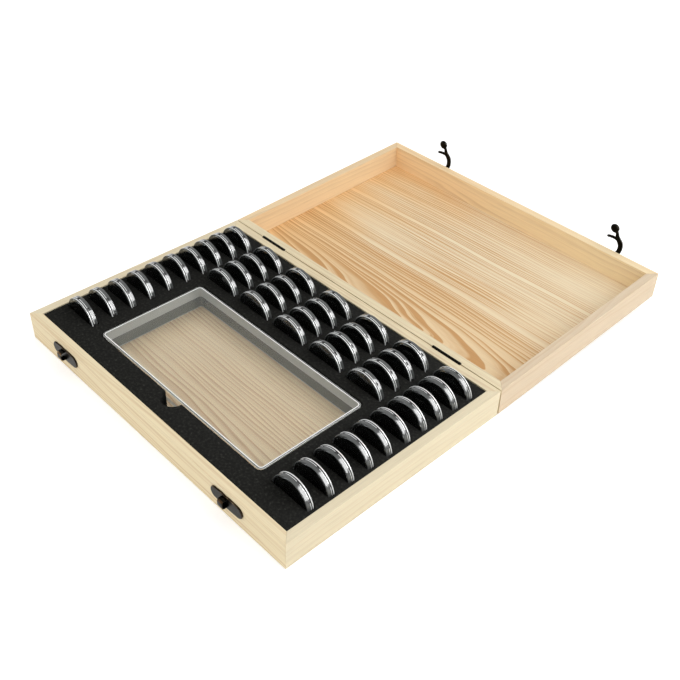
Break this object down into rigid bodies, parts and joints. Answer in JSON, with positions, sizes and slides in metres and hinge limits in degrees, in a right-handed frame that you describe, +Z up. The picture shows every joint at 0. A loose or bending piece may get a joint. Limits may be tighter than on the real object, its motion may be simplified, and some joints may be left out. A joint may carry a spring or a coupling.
{
  "type": "coin storage box",
  "caption": "Hinged wooden storage box with hook latches, a foam bed of slots for round clear coin capsules and a flat clear inner case.",
  "frame": {"origin": "centre of the base's underside", "axes": "+Z up, +X to the right along the box's length, +Y to the back, where the open lid lies; the front with the keepers faces -Y"},
  "size_m": [0.375, 0.5211, 0.0667],
  "materials": {
    "pale_pine": "sanded, unvarnished",
    "pine_panel": "sanded, strong grain",
    "black_foam": "fine matte foam",
    "bronzed_steel": "dark antique bronze",
    "clear_plastic": "clear, polished",
    "clear_capsule": "clear, polished, with a black ring"
  },
  "bodies": {
    "base": {"base_front_wall": "pale_pine", "base_rear_wall": "pale_pine", "base_side_walls": "pale_pine", "base_floor": "pine_panel", "foam_insert": "black_foam", "hinge_base_leaves": "bronzed_steel", "hinge_pins": "bronzed_steel", "latch_keepers": "bronzed_steel", "base_nails": "bronzed_steel"},
    "lid": {"lid_front_wall": "pale_pine", "lid_rear_wall": "pale_pine", "lid_side_walls": "pale_pine", "lid_panel": "pine_panel", "hinge_lid_leaves": "bronzed_steel", "latch_plates": "bronzed_steel", "lid_nails": "bronzed_steel"},
    "hook_left": {"hook_left": "bronzed_steel"},
    "hook_right": {"hook_right": "bronzed_steel"},
    "case": {"case_tray": "clear_plastic"},
    "case_cover": {"case_cover": "clear_plastic"},
    "capsule_01": {"capsule_01": "clear_capsule"},
    "capsule_02": {"capsule_02": "clear_capsule"},
    "capsule_03": {"capsule_03": "clear_capsule"},
    "capsule_04": {"capsule_04": "clear_capsule"},
    "capsule_05": {"capsule_05": "clear_capsule"},
    "capsule_06": {"capsule_06": "clear_capsule"},
    "capsule_07": {"capsule_07": "clear_capsule"},
    "capsule_08": {"capsule_08": "clear_capsule"},
    "capsule_09": {"capsule_09": "clear_capsule"},
    "capsule_10": {"capsule_10": "clear_capsule"},
    "capsule_11": {"capsule_11": "clear_capsule"},
    "capsule_12": {"capsule_12": "clear_capsule"},
    "capsule_13": {"capsule_13": "clear_capsule"},
    "capsule_14": {"capsule_14": "clear_capsule"},
    "capsule_15": {"capsule_15": "clear_capsule"},
    "capsule_16": {"capsule_16": "clear_capsule"},
    "capsule_17": {"capsule_17": "clear_capsule"},
    "capsule_18": {"capsule_18": "clear_capsule"},
    "capsule_19": {"capsule_19": "clear_capsule"},
    "capsule_20": {"capsule_20": "clear_capsule"},
    "capsule_21": {"capsule_21": "clear_capsule"},
    "capsule_22": {"capsule_22": "clear_capsule"},
    "capsule_23": {"capsule_23": "clear_capsule"},
    "capsule_24": {"capsule_24": "clear_capsule"},
    "capsule_25": {"capsule_25": "clear_capsule"},
    "capsule_26": {"capsule_26": "clear_capsule"},
    "capsule_27": {"capsule_27": "clear_capsule"},
    "capsule_28": {"capsule_28": "clear_capsule"},
    "capsule_29": {"capsule_29": "clear_capsule"},
    "capsule_30": {"capsule_30": "clear_capsule"},
    "capsule_31": {"capsule_31": "clear_capsule"},
    "capsule_32": {"capsule_32": "clear_capsule"},
    "capsule_33": {"capsule_33": "clear_capsule"},
    "capsule_34": {"capsule_34": "clear_capsule"},
    "capsule_35": {"capsule_35": "clear_capsule"},
    "capsule_36": {"capsule_36": "clear_capsule"},
    "capsule_37": {"capsule_37": "clear_capsule"},
    "capsule_38": {"capsule_38": "clear_capsule"},
    "capsule_39": {"capsule_39": "clear_capsule"},
    "capsule_40": {"capsule_40": "clear_capsule"}
  },
  "joints": [
    {"name": "lid_hinge", "type": "hinge", "parent": "base", "child": "lid", "pos_m": [0, 0.1276, 0.0297], "axis": [-1, 0, 0], "range_deg": [-178, 0]},
    {"name": "hook_left_swing", "type": "hinge", "parent": "lid", "child": "hook_left", "pos_m": [-0.1129, 0.38247, 0.02649], "axis": [0, 0.9994, 0.0349], "range_deg": [-16, 60]},
    {"name": "hook_right_swing", "type": "hinge", "parent": "lid", "child": "hook_right", "pos_m": [0.1285, 0.38247, 0.02649], "axis": [0, 0.9994, 0.0349], "range_deg": [-16, 60]},
    {"name": "case_lift", "type": "slide", "parent": "base", "child": "case", "axis": [0, 0, 1], "range_m": [0, 0.06]},
    {"name": "case_cover_lift", "type": "slide", "parent": "case", "child": "case_cover", "axis": [0, 0, 1], "range_m": [0, 0.04]},
    {"name": "lift_capsule_01", "type": "slide", "parent": "base", "child": "capsule_01", "axis": [0, 0, 1], "range_m": [0, 0.045]},
    {"name": "lift_capsule_02", "type": "slide", "parent": "base", "child": "capsule_02", "axis": [0, 0, 1], "range_m": [0, 0.045]},
    {"name": "lift_capsule_03", "type": "slide", "parent": "base", "child": "capsule_03", "axis": [0, 0, 1], "range_m": [0, 0.045]},
    {"name": "lift_capsule_04", "type": "slide", "parent": "base", "child": "capsule_04", "axis": [0, 0, 1], "range_m": [0, 0.045]},
    {"name": "lift_capsule_05", "type": "slide", "parent": "base", "child": "capsule_05", "axis": [0, 0, 1], "range_m": [0, 0.045]},
    {"name": "lift_capsule_06", "type": "slide", "parent": "base", "child": "capsule_06", "axis": [0, 0, 1], "range_m": [0, 0.045]},
    {"name": "lift_capsule_07", "type": "slide", "parent": "base", "child": "capsule_07", "axis": [0, 0, 1], "range_m": [0, 0.045]},
    {"name": "lift_capsule_08", "type": "slide", "parent": "base", "child": "capsule_08", "axis": [0, 0, 1], "range_m": [0, 0.045]},
    {"name": "lift_capsule_09", "type": "slide", "parent": "base", "child": "capsule_09", "axis": [0, 0, 1], "range_m": [0, 0.045]},
    {"name": "lift_capsule_10", "type": "slide", "parent": "base", "child": "capsule_10", "axis": [0, 0, 1], "range_m": [0, 0.045]},
    {"name": "lift_capsule_11", "type": "slide", "parent": "base", "child": "capsule_11", "axis": [0, 0, 1], "range_m": [0, 0.045]},
    {"name": "lift_capsule_12", "type": "slide", "parent": "base", "child": "capsule_12", "axis": [0, 0, 1], "range_m": [0, 0.045]},
    {"name": "lift_capsule_13", "type": "slide", "parent": "base", "child": "capsule_13", "axis": [0, 0, 1], "range_m": [0, 0.045]},
    {"name": "lift_capsule_14", "type": "slide", "parent": "base", "child": "capsule_14", "axis": [0, 0, 1], "range_m": [0, 0.045]},
    {"name": "lift_capsule_15", "type": "slide", "parent": "base", "child": "capsule_15", "axis": [0, 0, 1], "range_m": [0, 0.045]},
    {"name": "lift_capsule_16", "type": "slide", "parent": "base", "child": "capsule_16", "axis": [0, 0, 1], "range_m": [0, 0.045]},
    {"name": "lift_capsule_17", "type": "slide", "parent": "base", "child": "capsule_17", "axis": [0, 0, 1], "range_m": [0, 0.045]},
    {"name": "lift_capsule_18", "type": "slide", "parent": "base", "child": "capsule_18", "axis": [0, 0, 1], "range_m": [0, 0.045]},
    {"name": "lift_capsule_19", "type": "slide", "parent": "base", "child": "capsule_19", "axis": [0, 0, 1], "range_m": [0, 0.045]},
    {"name": "lift_capsule_20", "type": "slide", "parent": "base", "child": "capsule_20", "axis": [0, 0, 1], "range_m": [0, 0.045]},
    {"name": "lift_capsule_21", "type": "slide", "parent": "base", "child": "capsule_21", "axis": [0, 0, 1], "range_m": [0, 0.045]},
    {"name": "lift_capsule_22", "type": "slide", "parent": "base", "child": "capsule_22", "axis": [0, 0, 1], "range_m": [0, 0.045]},
    {"name": "lift_capsule_23", "type": "slide", "parent": "base", "child": "capsule_23", "axis": [0, 0, 1], "range_m": [0, 0.045]},
    {"name": "lift_capsule_24", "type": "slide", "parent": "base", "child": "capsule_24", "axis": [0, 0, 1], "range_m": [0, 0.045]},
    {"name": "lift_capsule_25", "type": "slide", "parent": "base", "child": "capsule_25", "axis": [0, 0, 1], "range_m": [0, 0.045]},
    {"name": "lift_capsule_26", "type": "slide", "parent": "base", "child": "capsule_26", "axis": [0, 0, 1], "range_m": [0, 0.045]},
    {"name": "lift_capsule_27", "type": "slide", "parent": "base", "child": "capsule_27", "axis": [0, 0, 1], "range_m": [0, 0.045]},
    {"name": "lift_capsule_28", "type": "slide", "parent": "base", "child": "capsule_28", "axis": [0, 0, 1], "range_m": [0, 0.045]},
    {"name": "lift_capsule_29", "type": "slide", "parent": "base", "child": "capsule_29", "axis": [0, 0, 1], "range_m": [0, 0.045]},
    {"name": "lift_capsule_30", "type": "slide", "parent": "base", "child": "capsule_30", "axis": [0, 0, 1], "range_m": [0, 0.045]},
    {"name": "lift_capsule_31", "type": "slide", "parent": "base", "child": "capsule_31", "axis": [0, 0, 1], "range_m": [0, 0.045]},
    {"name": "lift_capsule_32", "type": "slide", "parent": "base", "child": "capsule_32", "axis": [0, 0, 1], "range_m": [0, 0.045]},
    {"name": "lift_capsule_33", "type": "slide", "parent": "base", "child": "capsule_33", "axis": [0, 0, 1], "range_m": [0, 0.045]},
    {"name": "lift_capsule_34", "type": "slide", "parent": "base", "child": "capsule_34", "axis": [0, 0, 1], "range_m": [0, 0.045]},
    {"name": "lift_capsule_35", "type": "slide", "parent": "base", "child": "capsule_35", "axis": [0, 0, 1], "range_m": [0, 0.045]},
    {"name": "lift_capsule_36", "type": "slide", "parent": "base", "child": "capsule_36", "axis": [0, 0, 1], "range_m": [0, 0.045]},
    {"name": "lift_capsule_37", "type": "slide", "parent": "base", "child": "capsule_37", "axis": [0, 0, 1], "range_m": [0, 0.045]},
    {"name": "lift_capsule_38", "type": "slide", "parent": "base", "child": "capsule_38", "axis": [0, 0, 1], "range_m": [0, 0.045]},
    {"name": "lift_capsule_39", "type": "slide", "parent": "base", "child": "capsule_39", "axis": [0, 0, 1], "range_m": [0, 0.045]},
    {"name": "lift_capsule_40", "type": "slide", "parent": "base", "child": "capsule_40", "axis": [0, 0, 1], "range_m": [0, 0.045]}
  ]
}
